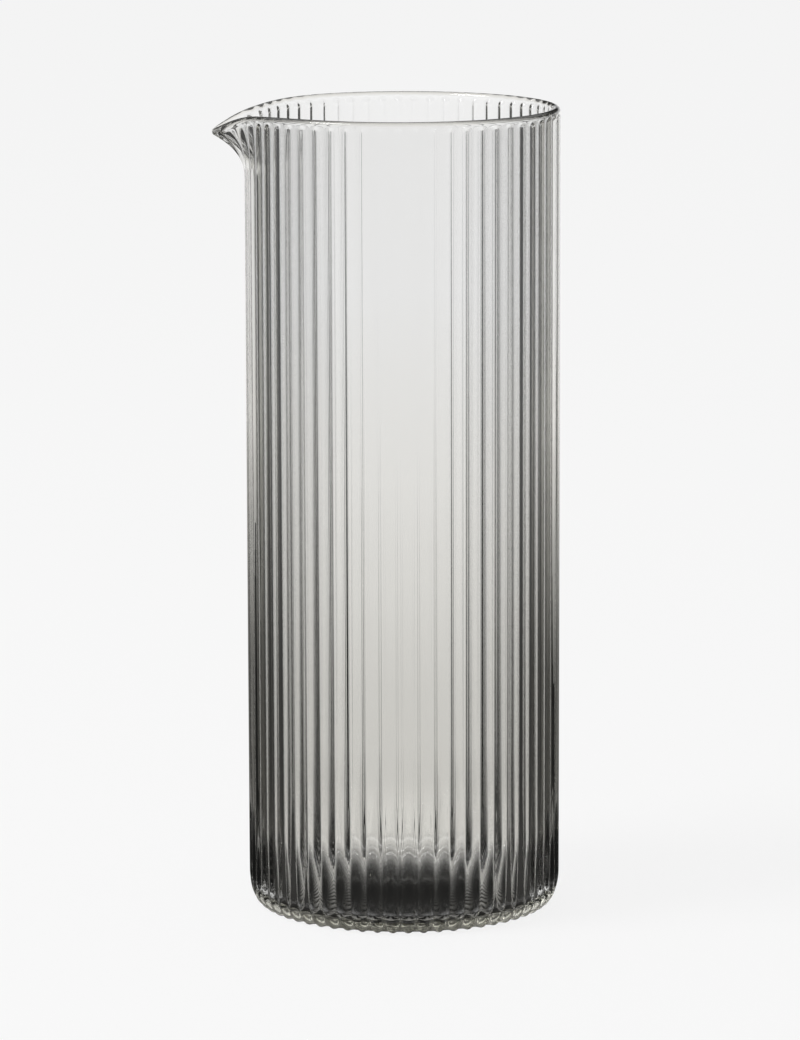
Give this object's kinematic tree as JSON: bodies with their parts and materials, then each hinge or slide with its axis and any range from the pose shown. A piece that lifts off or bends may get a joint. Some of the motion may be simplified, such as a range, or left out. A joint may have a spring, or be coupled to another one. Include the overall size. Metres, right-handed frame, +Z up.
{
  "type": "glass milk jug",
  "caption": "Tall straight round jug of clear glass with upright ribs, a rounded base, a smooth rim and a pouring lip drawn out of the rim; no handle, no lid.",
  "frame": {"origin": "centre of the flat underside, on the surface that the jug stands on", "axes": "+Z up along the axis of the round body, -X towards the pouring lip"},
  "size_m": [0.0991, 0.09, 0.2313],
  "materials": {
    "clear_glass": "polished, clear with a faint grey tint"
  },
  "bodies": {
    "root": {"fluted_glass_body": "clear_glass"}
  },
  "joints": []
}
